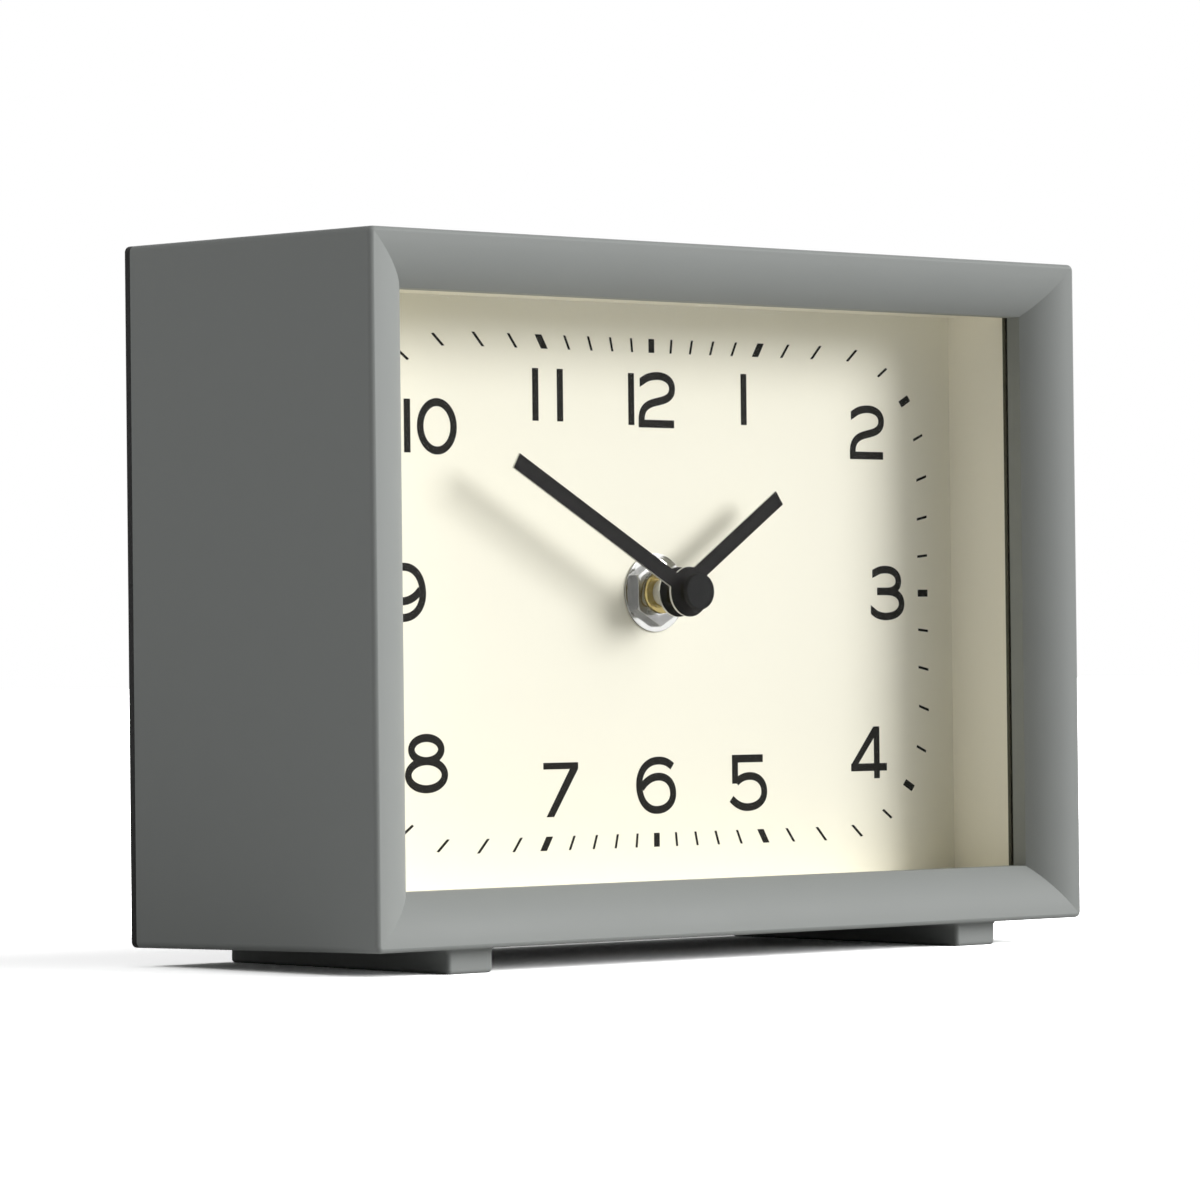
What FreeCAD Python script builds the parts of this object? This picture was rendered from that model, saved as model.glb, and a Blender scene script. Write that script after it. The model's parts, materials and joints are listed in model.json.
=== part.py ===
import FreeCAD, Part
import math
import os

# A desk clock in millimetres. x runs to the right, y to the back and z up.
# The origin lies on the table under the middle of the clock.
# Depths are counted back from the bezel's front.

V = FreeCAD.Vector
BACK = V(0, 1, 0)

# Fits
slip = 0.15          # loose fit between moulded pieces
running = 0.05       # radial play of turning pieces
seated = 0.02        # radial play of pieces that are pressed or screwed together
hinge_gap = 0.3      # gap round the battery door

# Case
case_width = 175.6   # at the front
case_height = 129.0  # at the front
case_depth = 74.0
case_draft = 1.2     # how far each side leans out from the front to the back
case_wall = 3.4      # at the front
case_corner = 1.2
front_arris = 1.0
bezel_inset = 10.4
bezel_fall = 5.1     # depth of the bezel's curve where it meets the lip
lip_land = 3.4
seat_depth = 3.0     # how far the lens pocket runs back from the bezel's lip
foot_height = 4.7    # at the front
foot_width = 10.4
foot_place = 63.1    # middle of each foot bar, out from the centre
foot_front_inset = 4.6
foot_rear_inset = 3.0
foot_rounding = 0.8      # upright edges
sole_rounding = 0.7      # edges on the table
foot_blend = 0.9

# Lens, seal, surround and dial
lens_overlap = 2.2
lens_thickness = 1.6
seal_thickness = 0.8
surround_setback = 1.0   # the surround's walls stand this far behind the bezel's edge
surround_wall = 1.0
flange_thickness = 1.5
dial_depth = 26.4
dial_thickness = 1.2
dial_screw_inset = 34.0  # from the case's inner side wall
dial_boss_radius = 2.2
dial_screw_radius = 1.0
dial_screw_length = 8.0
dial_head_radius = 1.9
dial_head_height = 1.4

# Rear cover and battery door
cover_edge = 1.8
cover_inner = 0.8
cover_arris = 0.3
cover_rib = 1.6
cover_rib_depth = 5.0
cover_rib_margin = 22.0  # how far each rib stops short of the case's inner corner
pad_depth = 2.2
pad_radius = 3.4
post_radius = 2.6
post_inset = 2.4         # middle of a corner post, in from the case's inner walls
cover_screw_radius = 1.1
cover_screw_length = 13.0
cover_head_radius = 2.0
cover_head_height = 1.2
head_recess = 0.1
pilot_spare = 1.0        # how far a pilot hole runs past its screw
recess_reach = 0.6       # cross recess, as a share of a screw head's radius
recess_width = 0.13
well_wall = 1.8
well_gap = 0.6           # round the movement
well_overlap = 2.0       # how far the well reaches along the movement's sides
door_thickness = 3.0
door_pin_radius = 0.75
ledge_width = 2.0
ledge_depth = 1.5
notch_radius = 7.0
notch_depth = 1.4

# Hub in front of the dial, counted forward from the dial's face
washer_radius = 7.5
washer_thickness = 0.4
nut_flats = 11.3
nut_thickness = 1.65
nut_chamfer = 0.3
bush_radius = 4.0
bush_proud = 0.55        # bush end in front of the nut
tube_proud = 3.35        # tube shoulder in front of the bush
hand_thickness = 0.5
hand_width = 3.1
hub_radius = 4.74
hour_hand_length = 31.8
minute_hand_length = 48.4
hour_hand_angle = 55.0   # clockwise from twelve
minute_hand_angle = 300.0
collet_back = 0.75       # collet flange behind a hand
collet_rim = 0.5         # how far that flange stands out round the neck
collet_wall = 0.4
collet_step = 0.8        # hexagon's flats beyond the neck
hour_collet_front = 1.5
minute_collet_front = 2.1
hub_clearance = 0.5      # between the hour collet and the minute collet
cap_radius = 3.45
cap_thickness = 1.1
cap_rounding = 0.25
cap_web = 0.3            # in front of the arbor's tip

# Arbors
tube_radius = 2.5
tube_nose_radius = 1.9
minute_radius = 1.2
minute_nose_radius = 1.0
minute_tip_radius = 0.8
arbor_radius = 0.6
pivot_radius = 0.4
friction_seat_radius = 1.6
setting_radius = 1.0

# Movement, depths counted back from its front face
gasket_thickness = 0.6
gasket_radius = 12.0
shell_wall = 1.5
bush_flange = 0.8
bush_flange_rim = 1.5
bearing_height = 0.7
bearing_radius = 1.4
pivot_depth = 0.8
axial_play = 0.3
wheel_thickness = 1.0
pinion_thickness = 1.4
thin_wheel = 0.6
layer_gap = 0.4
plate_thickness = 1.0
board_standoff = 0.9
board_thickness = 1.0
board_arm = 5.0          # width of the arm along the battery bay
lid_thickness = 1.5
lid_rim = 1.0
divider = 1.2
battery_radius = 7.25
battery_length = 50.5
battery_nub = 1.0
battery_nub_radius = 2.75
battery_gap = 0.2
contact_thickness = 0.4
contact_half = 5.0
contact_tail = 1.4
end_space = 0.85         # behind each battery contact
bay_clearance = 1.4      # between the hour wheel and the battery bay
crystal_radius = 1.0
crystal_length = 6.0
crystal_inset = 5.0      # from the bay's side wall
chip_radius = 3.0
chip_height = 1.0
knob_radius = 6.5
knob_height = 4.0
knob_web = 1.5           # behind the end of the setting shaft
knob_flutes = 24
flute_radius = 0.5

# Gear teeth
motion_module = 0.25
third_module = 0.2
fine_module = 0.16
addendum = 0.8
dedendum = 1.1
tooth_fill = 0.8         # share of half a pitch that a tooth takes up on the pitch circle
pressure_angle = math.radians(20)
minute_teeth = 20
motion_teeth = 60
motion_pinion_teeth = 16
hour_teeth = 64
setting_teeth = 20
friction_teeth = 60
third_teeth = 75
fourth_teeth = 90
fifth_teeth = 75
train_pinion_teeth = 15

# Directions from one arbor to the next, in degrees up from the right
motion_direction = 0.0
setting_direction = 53.0
third_direction = 150.0
fourth_direction = 100.0
fifth_direction = 20.0
rotor_direction = 0.0

# Motor and coil
magnet_radius = 3.0
magnet_length = 2.0
rotor_gap = 0.4
stator_thickness = 0.8
stator_rim = 1.8
arm_width = 2.4
coil_start = -0.4        # coil's near end, right of the rotor
coil_length = 15.0
coil_gap = 0.3           # round the coil
core_height = 1.2
bobbin_wall = 0.6
bobbin_flange = 0.8
winding_depth = 0.9
coil_headroom = 1.0
pillar_radius = 1.5
plate_screw_radius = 0.6
plate_head_radius = 1.2
plate_head_height = 0.6
plate_screw_length = 5.0

# Worked out from the sizes above
front_y = -case_depth / 2
axis_z = foot_height + case_height / 2
inner_half_x = case_width / 2 - case_wall
inner_half_z = case_height / 2 - case_wall
opening_half_x = case_width / 2 - bezel_inset
opening_half_z = case_height / 2 - bezel_inset
lens_half_x = opening_half_x + lens_overlap
lens_half_z = opening_half_z + lens_overlap
lip_depth = bezel_fall + lip_land
lens_back = lip_depth + lens_thickness
seal_back = lens_back + seal_thickness
cavity_front = lip_depth + seat_depth
surround_half_x = opening_half_x + surround_setback
surround_half_z = opening_half_z + surround_setback
flange_half_x = inner_half_x - slip
flange_half_z = inner_half_z - slip
dial_back = dial_depth + dial_thickness
post_x = inner_half_x - post_inset
post_z = inner_half_z - post_inset
dial_boss_x = inner_half_x - dial_screw_inset
dial_boss_z = inner_half_z - dial_boss_radius + slip
cover_front = case_depth - cover_edge
plate_front_depth = cover_front - cover_inner
pad_front = plate_front_depth - pad_depth

washer_front = dial_depth - washer_thickness
nut_front = washer_front - nut_thickness
bush_front = nut_front - bush_proud
tube_shoulder = bush_front - tube_proud
hour_hand_back = tube_shoulder - collet_back
hour_hand_front = hour_hand_back - hand_thickness
tube_front = hour_hand_front - hour_collet_front
minute_shoulder = tube_front - hub_clearance
minute_hand_back = minute_shoulder - collet_back
minute_hand_front = minute_hand_back - hand_thickness
minute_nose_front = minute_hand_front - minute_collet_front
cap_front = minute_nose_front - cap_thickness
tip_front = cap_front + cap_web

movement_front = dial_back + gasket_thickness
shell_inner = movement_front + shell_wall
bearing_back = shell_inner + bearing_height
hour_wheel_front = shell_inner + bush_flange + axial_play
hour_wheel_back = hour_wheel_front + wheel_thickness
tube_back = hour_wheel_back + running
minute_pinion_front = tube_back + layer_gap
minute_pinion_back = minute_pinion_front + pinion_thickness
friction_front = minute_pinion_back + layer_gap
friction_back = friction_front + wheel_thickness
third_front = friction_back + 2 * layer_gap
third_back = third_front + thin_wheel
train_plate_front = third_back + 2 * layer_gap
train_plate_back = train_plate_front + plate_thickness
board_front = train_plate_back + board_standoff
board_back = board_front + board_thickness
lid_front = board_back + 2 * crystal_radius + lid_rim
movement_back = lid_front + lid_thickness
fourth_front = minute_pinion_front + layer_gap
fourth_back = fourth_front + thin_wheel
fifth_front = friction_front + layer_gap / 2
fifth_back = fifth_front + thin_wheel
mesh_over = layer_gap / 2     # how far a pinion stands past its wheel on each side
bobbin_radius = arm_width / 2 + bobbin_wall
winding_radius = bobbin_radius + winding_depth
magnet_middle = bearing_back + axial_play + magnet_length / 2
coil_middle = shell_inner + coil_gap + winding_radius
stator_back = max(magnet_middle + stator_thickness / 2, coil_middle - core_height / 2)
stator_front = stator_back - stator_thickness
magnet_front = (stator_front + stator_back - magnet_length) / 2
magnet_back = magnet_front + magnet_length
core_back = stator_back + core_height
coil_depth = (stator_back + core_back) / 2
rotor_ring = magnet_radius + rotor_gap + stator_rim


def polar(place, distance, degrees):
    """The point at a distance and direction from another, seen from the front."""
    angle = math.radians(degrees)
    return (place[0] + distance * math.cos(angle), place[1] + distance * math.sin(angle))


def mesh_distance(module, teeth, other_teeth):
    return module * (teeth + other_teeth) / 2


def tip_radius(module, teeth):
    return module * (teeth / 2 + addendum)


# Arbor places, from the hands' axis
centre = (0.0, 0.0)
motion_place = polar(centre, mesh_distance(motion_module, minute_teeth, motion_teeth), motion_direction)
setting_place = polar(motion_place, mesh_distance(motion_module, motion_teeth, setting_teeth), setting_direction)
third_place = polar(centre, mesh_distance(motion_module, friction_teeth, train_pinion_teeth), third_direction)
fourth_place = polar(third_place, mesh_distance(third_module, third_teeth, train_pinion_teeth), fourth_direction)
fifth_place = polar(fourth_place, mesh_distance(fine_module, fourth_teeth, train_pinion_teeth), fifth_direction)
rotor_place = polar(fifth_place, mesh_distance(fine_module, fifth_teeth, train_pinion_teeth), rotor_direction)

# Movement case, sized by the battery below and by the coil above
bay_half_x = battery_length / 2 + contact_thickness + end_space
movement_half_x = bay_half_x + shell_wall
divider_top = -tip_radius(motion_module, hour_teeth) - bay_clearance
divider_bottom = divider_top - divider
battery_z = divider_bottom - battery_gap - battery_radius
battery_depth = shell_inner + battery_gap + battery_radius
bay_bottom = battery_z - battery_radius - battery_gap
coil_z = rotor_place[1] + rotor_ring + coil_gap + winding_radius
bay_top = coil_z + winding_radius + coil_headroom
movement_bottom = bay_bottom - shell_wall
movement_top = bay_top + shell_wall
movement_mid = (movement_bottom + movement_top) / 2
movement_half_z = (movement_top - movement_bottom) / 2
well_half_x = movement_half_x + well_gap
well_half_z = movement_half_z + well_gap
well_front = movement_back - well_overlap
door_half_x = well_half_x - hinge_gap
door_half_z = well_half_z - hinge_gap
door_front = case_depth - door_thickness
hinge_x = door_thickness / 2 - door_half_x
hinge_depth = case_depth - door_thickness / 2
coil_left = rotor_place[0] + coil_start
coil_right = coil_left + coil_length
arm_left = coil_left - arm_width / 2 - coil_gap
arm_right = coil_right + arm_width / 2 + coil_gap
beside_pillar = pillar_radius + layer_gap
pillar_low = divider_top + 3 * pillar_radius
pillar_places = [
    (third_place[0] - tip_radius(third_module, third_teeth) - beside_pillar, pillar_low),
    (fourth_place[0] - tip_radius(fine_module, fourth_teeth) - beside_pillar, fourth_place[1]),
    (motion_place[0] + tip_radius(motion_module, motion_teeth) + beside_pillar, pillar_low),
    (arm_right, rotor_place[1] - arm_width / 2 - beside_pillar),
]


def y_at(depth):
    return front_y + depth


def at(place, depth):
    """A point of the movement or hub: an offset from the hands' axis, and a depth."""
    return V(place[0], y_at(depth), axis_z + place[1])


def rod(radius, front, back, place=centre):
    """A cylinder along the depth of the clock."""
    return Part.makeCylinder(radius, back - front, at(place, front), BACK)


def ring(radius, bore, front, back, place=centre):
    return rod(radius, front, back, place).cut(rod(bore, front, back, place))


def block(x0, x1, z0, z1, front, back):
    """A box whose x and z are counted from the hands' axis."""
    return Part.makeBox(x1 - x0, back - front, z1 - z0, at((x0, z0), front))


def slab(half_x, half_z, front, back):
    return block(-half_x, half_x, -half_z, half_z, front, back)


def frame(half_x, half_z, bore_x, bore_z, front, back):
    return slab(half_x, half_z, front, back).cut(slab(bore_x, bore_z, front, back))


def round_edges(shape, radius, wanted):
    """Rounds the edges whose ends all pass a test."""
    chosen = [e for e in shape.Edges if all(wanted(v.Point) for v in e.Vertexes)]
    return shape.makeFillet(radius, chosen)


def near(a, b):
    return abs(a - b) < 1e-4


def case_lean(depth):
    """How far the case's sides have leaned out at a depth."""
    return case_draft * depth / case_depth


def case_outline(front, back):
    """A slab of the case's outside, with its four long edges rounded."""
    lean, back_lean = case_lean(front), case_lean(back)
    x, back_x = case_width / 2 + lean, case_width / 2 + back_lean
    z, back_z = case_height / 2 + lean, case_height / 2 + back_lean
    plain = Part.makeWedge(-x, y_at(front), axis_z - z, axis_z - back_z, -back_x,
                           x, y_at(back), axis_z + z, axis_z + back_z, back_x)
    along = [e for e in plain.Edges if e.BoundBox.YLength > (back - front) / 2]
    return plain.makeFillet(case_corner, along)


def hexagon(flats, front, back, place=centre):
    """A hexagonal prism standing on a corner."""
    corner = flats / math.sqrt(3)
    points = [at(polar(place, corner, 30 + 60 * n), front) for n in range(7)]
    return Part.Face(Part.makePolygon(points)).extrude(BACK * (back - front))


def four_corners(x, z):
    return [(sx * x, sz * z) for sx in (-1, 1) for sz in (-1, 1)]


def bar_between(start, end, width, front, back):
    """A flat bar from one place to another, square at its ends and half a width longer at each."""
    dx, dz = end[0] - start[0], end[1] - start[1]
    length = math.hypot(dx, dz)
    ux, uz = dx / length * width / 2, dz / length * width / 2
    corners = [
        (start[0] - ux - uz, start[1] - uz + ux),
        (start[0] - ux + uz, start[1] - uz - ux),
        (end[0] + ux + uz, end[1] + uz - ux),
        (end[0] + ux - uz, end[1] + uz + ux),
    ]
    points = [at(p, front) for p in corners + corners[:1]]
    return Part.Face(Part.makePolygon(points)).extrude(BACK * (back - front))


def screw(place, head_radius, head_back, head_height, shank_radius, length):
    """A pan-head screw driven in from the back, with a cross recess."""
    under_head = head_back - head_height
    body = rod(head_radius, under_head, head_back, place)
    body = body.fuse(rod(shank_radius, under_head - length, under_head, place))
    long, short = head_radius * recess_reach, head_radius * recess_width
    for half_x, half_z in ((long, short), (short, long)):
        recess = block(place[0] - half_x, place[0] + half_x, place[1] - half_z, place[1] + half_z,
                       head_back - head_height / 2, head_back)
        body = body.cut(recess)
    return body.removeSplitter()


# Gears

def flank_angle(radius, base, pitch):
    """How much a tooth's half angle shrinks from its pitch circle out to a radius, along an involute."""
    def involute(r):
        a = math.acos(min(1.0, base / max(r, base)))
        return math.tan(a) - a
    return involute(radius) - involute(pitch)


def gear(module, teeth, phase, front, back, place):
    """A spur gear with straight facets along each flank. Its phase is the direction of one tooth's middle."""
    pitch = module * teeth / 2
    base = pitch * math.cos(pressure_angle)
    radii = (pitch - dedendum * module, pitch, pitch + addendum * module)
    half = math.pi / (2 * teeth) * tooth_fill
    points = []
    for n in range(teeth):
        middle = phase + 2 * math.pi * n / teeth
        rise = [(r, half - flank_angle(r, base, pitch)) for r in radii]
        side = [(r, middle - h) for r, h in rise] + [(r, middle + h) for r, h in reversed(rise)]
        points += [at(polar(place, r, math.degrees(a)), front) for r, a in side]
    points.append(points[0])
    return Part.Face(Part.makePolygon(points)).extrude(BACK * (back - front))


def meshed_phase(teeth, place, phase, other_teeth, other_place):
    """The phase that sets a second gear's gap against the first gear's tooth."""
    line = math.atan2(other_place[1] - place[1], other_place[0] - place[0])
    return line + math.pi - math.pi / other_teeth - teeth / other_teeth * (phase - line)


def pivoted_arbor(place):
    """A wheel's arbor, with a pivot in the front shell's bearing and one in the train plate."""
    body = rod(arbor_radius, bearing_back + running, train_plate_front - running, place)
    body = body.fuse(rod(pivot_radius, bearing_back - pivot_depth, bearing_back + running, place))
    return body.fuse(rod(pivot_radius, train_plate_front - running, train_plate_back, place))


# Case and front

def bezel_opening():
    """The space inside the bezel: a curve that leaves the front level, then the straight lip round the lens."""
    turn = 2 * math.atan(bezel_fall / bezel_inset)
    radius = bezel_inset / math.sin(turn)

    def profile(outer, point):
        inner = outer - bezel_inset
        bend = (outer - radius * math.sin(turn / 2), radius * (1 - math.cos(turn / 2)))
        left = [(-outer, 0), (-bend[0], bend[1]), (-inner, bezel_fall)]
        right = [(outer, 0), bend, (inner, bezel_fall)]
        edges = [
            Part.makeLine(point(-outer, 0), point(outer, 0)),
            Part.Arc(*[point(*p) for p in right]).toShape(),
            Part.makeLine(point(inner, bezel_fall), point(inner, cavity_front)),
            Part.makeLine(point(inner, cavity_front), point(-inner, cavity_front)),
            Part.makeLine(point(-inner, cavity_front), point(-inner, bezel_fall)),
            Part.Arc(*[point(*p) for p in reversed(left)]).toShape(),
        ]
        return Part.Face(Part.Wire(edges))

    wide = profile(case_width / 2, lambda x, d: at((x, -case_height / 2), d)).extrude(V(0, 0, case_height))
    tall = profile(case_height / 2, lambda z, d: at((-case_width / 2, z), d)).extrude(V(case_width, 0, 0))
    return wide.common(tall)


def foot_bar(side):
    middle = side * foot_place
    floor = -axis_z
    bar = block(middle - foot_width / 2, middle + foot_width / 2, floor, floor + foot_height + case_wall / 2,
                foot_front_inset, case_depth - foot_rear_inset)
    upright = [e for e in bar.Edges if near(e.BoundBox.XLength, 0) and near(e.BoundBox.YLength, 0)]
    bar = bar.makeFillet(foot_rounding, upright)
    return round_edges(bar, sole_rounding, lambda p: near(p.z, 0))


def case_shell():
    body = case_outline(0, cover_front)
    body = round_edges(body, front_arris, lambda p: near(p.y, front_y))
    body = body.cut(bezel_opening())
    body = body.cut(slab(lens_half_x + slip, lens_half_z + slip, lip_depth, cavity_front))
    body = body.cut(slab(inner_half_x, inner_half_z, cavity_front, cover_front))
    for place in four_corners(post_x, post_z):
        body = body.fuse(rod(post_radius, cavity_front, pad_front, place))
        body = body.cut(rod(cover_screw_radius + seated, pad_front - cover_screw_length, pad_front, place))
    flange_front = dial_depth - flange_thickness
    for place in four_corners(dial_boss_x, dial_boss_z):
        body = body.fuse(rod(dial_boss_radius, cavity_front, flange_front, place))
        body = body.cut(rod(dial_screw_radius + seated, flange_front - dial_screw_length, flange_front, place))
    for side in (-1, 1):
        body = body.fuse(foot_bar(side))
    body = body.removeSplitter()

    def on_foot_joint(p):
        beside = abs(abs(p.x) - foot_place) < foot_width / 2 + foot_rounding
        underside = foot_height - case_lean(p.y - front_y)
        return beside and near(p.z, underside) and front_y < p.y < y_at(cover_front)
    return round_edges(body, foot_blend, on_foot_joint)


def lens():
    return slab(lens_half_x, lens_half_z, lip_depth, lens_back)


def lens_seal():
    return frame(lens_half_x, lens_half_z, surround_half_x, surround_half_z, lens_back, seal_back)


def corner_cutouts(front, back):
    """Room for the case's corner posts in a plate that fills the case."""
    reach = post_radius + slip
    cuts = []
    for x, z in four_corners(post_x, post_z):
        x0, x1 = sorted((math.copysign(abs(x) - reach, x), math.copysign(inner_half_x, x)))
        z0, z1 = sorted((math.copysign(abs(z) - reach, z), math.copysign(inner_half_z, z)))
        cuts.append(block(x0, x1, z0, z1, front, back))
    return Part.makeCompound(cuts)


def dial_surround():
    flange_front = dial_depth - flange_thickness
    body = slab(flange_half_x, flange_half_z, flange_front, dial_depth)
    body = body.cut(corner_cutouts(flange_front, dial_depth))
    walls = slab(surround_half_x + surround_wall, surround_half_z + surround_wall, seal_back, dial_depth)
    body = body.fuse(walls).cut(slab(surround_half_x, surround_half_z, seal_back, dial_depth))
    for place in four_corners(dial_boss_x, dial_boss_z):
        body = body.cut(rod(dial_screw_radius + slip, flange_front, dial_depth, place))
    return body.removeSplitter()


def dial_plate():
    body = slab(flange_half_x, flange_half_z, dial_depth, dial_back)
    body = body.cut(corner_cutouts(dial_depth, dial_back))
    body = body.cut(rod(bush_radius + slip, dial_depth, dial_back))
    for place in four_corners(dial_boss_x, dial_boss_z):
        body = body.cut(rod(dial_screw_radius + slip, dial_depth, dial_back, place))
    return body.removeSplitter()


def dial_screws():
    reach = dial_thickness + flange_thickness + dial_screw_length - pilot_spare
    return Part.makeCompound([
        screw(place, dial_head_radius, dial_back + dial_head_height, dial_head_height, dial_screw_radius, reach)
        for place in four_corners(dial_boss_x, dial_boss_z)
    ])


# Rear cover and battery door

def well_block(half_x, half_z, front, back):
    """A box centred behind the movement."""
    return block(-half_x, half_x, movement_mid - half_z, movement_mid + half_z, front, back)


def rear_cover():
    body = case_outline(cover_front, case_depth)
    body = round_edges(body, cover_arris, lambda p: near(p.y, -front_y))
    body = body.fuse(slab(flange_half_x, flange_half_z, plate_front_depth, cover_front))
    rib_half_x = inner_half_x - cover_rib_margin
    rib_half_z = inner_half_z - cover_rib_margin
    rib_front = plate_front_depth - cover_rib_depth
    ribs = frame(flange_half_x, flange_half_z, flange_half_x - cover_rib, flange_half_z - cover_rib,
                 rib_front, plate_front_depth)
    kept = slab(flange_half_x, rib_half_z, rib_front, plate_front_depth)
    kept = kept.fuse(slab(rib_half_x, flange_half_z, rib_front, plate_front_depth))
    body = body.fuse(ribs.common(kept))
    for place in four_corners(post_x, post_z):
        pad = rod(pad_radius, pad_front, plate_front_depth, place)
        body = body.fuse(pad.common(slab(flange_half_x, flange_half_z, pad_front, plate_front_depth)))
    body = body.fuse(well_block(well_half_x + well_wall, well_half_z + well_wall, well_front, cover_front))
    body = body.cut(well_block(well_half_x, well_half_z, well_front, case_depth))
    ledge = well_block(well_half_x, well_half_z, door_front - ledge_depth, door_front)
    ledge = ledge.cut(ledge.translated(V(-ledge_width, 0, 0)))
    body = body.fuse(ledge)
    body = body.cut(rod(notch_radius, case_depth - notch_depth, case_depth, (well_half_x, movement_mid)))
    head_seat = case_depth - cover_head_height - head_recess
    for place in four_corners(post_x, post_z):
        body = body.cut(rod(cover_screw_radius + slip, pad_front, case_depth, place))
        body = body.cut(rod(cover_head_radius + slip, head_seat, case_depth, place))
    body = body.cut(hinge_rod(door_pin_radius + seated, well_half_z + well_wall))
    return body.removeSplitter()


def rear_cover_screws():
    return Part.makeCompound([
        screw(place, cover_head_radius, case_depth - head_recess, cover_head_height, cover_screw_radius,
              cover_screw_length + pad_depth - pilot_spare)
        for place in four_corners(post_x, post_z)
    ])


def hinge_rod(radius, half_length):
    """An upright rod on the door's hinge line."""
    foot = at((hinge_x, movement_mid - half_length), hinge_depth)
    return Part.makeCylinder(radius, 2 * half_length, foot, V(0, 0, 1))


def battery_door():
    plate = well_block(door_half_x, door_half_z, door_front, case_depth)
    beyond_hinge = plate.translated(V(hinge_x - door_half_x, 0, 0))
    body = plate.cut(beyond_hinge).fuse(hinge_rod(door_thickness / 2, door_half_z))
    body = body.cut(hinge_rod(door_pin_radius + running, door_half_z))
    return body.removeSplitter()


def door_hinge_pin():
    return hinge_rod(door_pin_radius, well_half_z + well_wall - hinge_gap)


# Hub and hands

def threaded_bush():
    body = rod(bush_radius, bush_front, shell_inner)
    body = body.fuse(rod(bush_radius + bush_flange_rim, shell_inner, shell_inner + bush_flange))
    return body.cut(rod(tube_radius + running, bush_front, shell_inner + bush_flange)).removeSplitter()


def dial_washer():
    return ring(washer_radius, bush_radius + seated, washer_front, dial_depth)


def clamp_nut():
    body = hexagon(nut_flats, nut_front, washer_front)
    face = nut_flats / math.sqrt(3) - nut_chamfer
    blunt = Part.makeCone(face, face + 2 * nut_thickness, nut_thickness, at(centre, nut_front), BACK)
    return body.common(blunt).cut(rod(bush_radius + seated, nut_front, washer_front))


def hand(angle, length, bore, front, back):
    """A parallel baton with a square end, on a round hub."""
    direction = 90 - angle
    reach = length - hand_width / 2
    start = polar(centre, hand_width / 2, direction)
    body = bar_between(start, polar(centre, reach, direction), hand_width, front, back)
    body = body.fuse(rod(hub_radius, front, back))
    return body.cut(rod(bore, front, back)).removeSplitter()


def collet(bore, shoulder, hand_back, hand_front, nose):
    """A brass collet riveted through a hand: a flange behind it, a neck in it and a hexagon in front."""
    neck = bore + collet_wall
    body = rod(neck + collet_rim, hand_back, shoulder)
    body = body.fuse(rod(neck, hand_front, hand_back))
    body = body.fuse(hexagon(2 * (neck + collet_step), nose, hand_front))
    return body.cut(rod(bore + seated, nose, shoulder)).removeSplitter()


def hour_hand():
    return hand(hour_hand_angle, hour_hand_length, tube_nose_radius + collet_wall + seated,
                hour_hand_front, hour_hand_back)


def hour_hand_collet():
    return collet(tube_nose_radius, tube_shoulder, hour_hand_back, hour_hand_front, tube_front)


def minute_hand():
    return hand(minute_hand_angle, minute_hand_length, minute_nose_radius + collet_wall + seated,
                minute_hand_front, minute_hand_back)


def minute_hand_collet():
    return collet(minute_nose_radius, minute_shoulder, minute_hand_back, minute_hand_front, minute_nose_front)


def hand_cap():
    body = rod(cap_radius, cap_front, minute_nose_front)
    body = round_edges(body, cap_rounding, lambda p: near(p.y, y_at(cap_front)))
    return body.cut(rod(minute_tip_radius + seated, tip_front, minute_nose_front))


# Hands' train: minute pinion, motion wheel, hour wheel and setting shaft

minute_phase = 0.0
motion_phase = meshed_phase(minute_teeth, centre, minute_phase, motion_teeth, motion_place)
motion_pinion_phase = 0.0
hour_phase = meshed_phase(motion_pinion_teeth, motion_place, motion_pinion_phase, hour_teeth, centre)
setting_phase = meshed_phase(motion_teeth, motion_place, motion_phase, setting_teeth, setting_place)


def hour_wheel():
    body = rod(tube_radius, tube_shoulder, tube_back).fuse(rod(tube_nose_radius, tube_front, tube_shoulder))
    body = body.fuse(gear(motion_module, hour_teeth, hour_phase, hour_wheel_front, hour_wheel_back, centre))
    return body.cut(rod(minute_radius + running, tube_front, tube_back)).removeSplitter()


def minute_arbor():
    steps = [
        (minute_tip_radius, tip_front, minute_nose_front),
        (minute_nose_radius, minute_nose_front, minute_shoulder),
        (minute_radius, minute_shoulder, minute_pinion_back),
        (friction_seat_radius, minute_pinion_back, friction_back + running),
        (minute_radius, friction_back + running, train_plate_front - running),
        (arbor_radius, train_plate_front - running, train_plate_back),
    ]
    body = gear(motion_module, minute_teeth, minute_phase, minute_pinion_front, minute_pinion_back, centre)
    for radius, front, back in steps:
        body = body.fuse(rod(radius, front, back))
    return body.removeSplitter()


def motion_wheel():
    body = pivoted_arbor(motion_place)
    body = body.fuse(gear(motion_module, motion_teeth, motion_phase, minute_pinion_front + mesh_over,
                          minute_pinion_back - mesh_over, motion_place))
    body = body.fuse(gear(motion_module, motion_pinion_teeth, motion_pinion_phase, hour_wheel_front - mesh_over / 2,
                          hour_wheel_back + mesh_over, motion_place))
    return body.removeSplitter()


def setting_shaft():
    body = rod(setting_radius, bearing_back + running, movement_back + knob_height - knob_web, setting_place)
    body = body.fuse(rod(pivot_radius, bearing_back - pivot_depth, bearing_back + running, setting_place))
    body = body.fuse(gear(motion_module, setting_teeth, setting_phase, minute_pinion_front, minute_pinion_back,
                          setting_place))
    return body.removeSplitter()


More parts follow.
